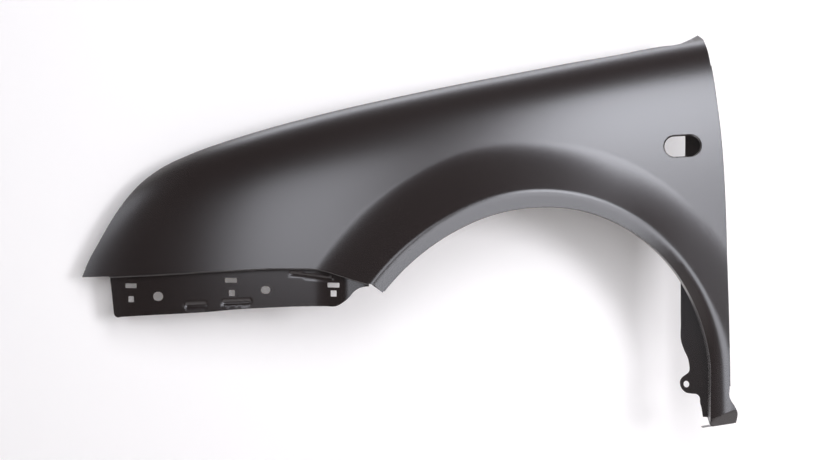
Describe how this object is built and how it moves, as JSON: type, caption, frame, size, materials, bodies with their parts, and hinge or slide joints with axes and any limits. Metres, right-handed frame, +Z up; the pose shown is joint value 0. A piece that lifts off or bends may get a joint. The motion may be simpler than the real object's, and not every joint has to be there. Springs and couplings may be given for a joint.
{
  "type": "car fender",
  "caption": "Pressed steel front fender of a saloon car, left side, with flared wheel arch, bolt channel, bumper flange and door side flange.",
  "frame": {"origin": "on the top face of the rear bolt seat in the bonnet channel, on the land ahead of its hole", "axes": "+X towards the rear of the car, +Y inboard, away from the wheel side, +Z up"},
  "size_m": [1.1882, 0.1804, 0.7055],
  "materials": {
    "black_primer": "satin black electrocoat primer"
  },
  "bodies": {
    "root": {"fender_panel": "black_primer"}
  },
  "joints": []
}
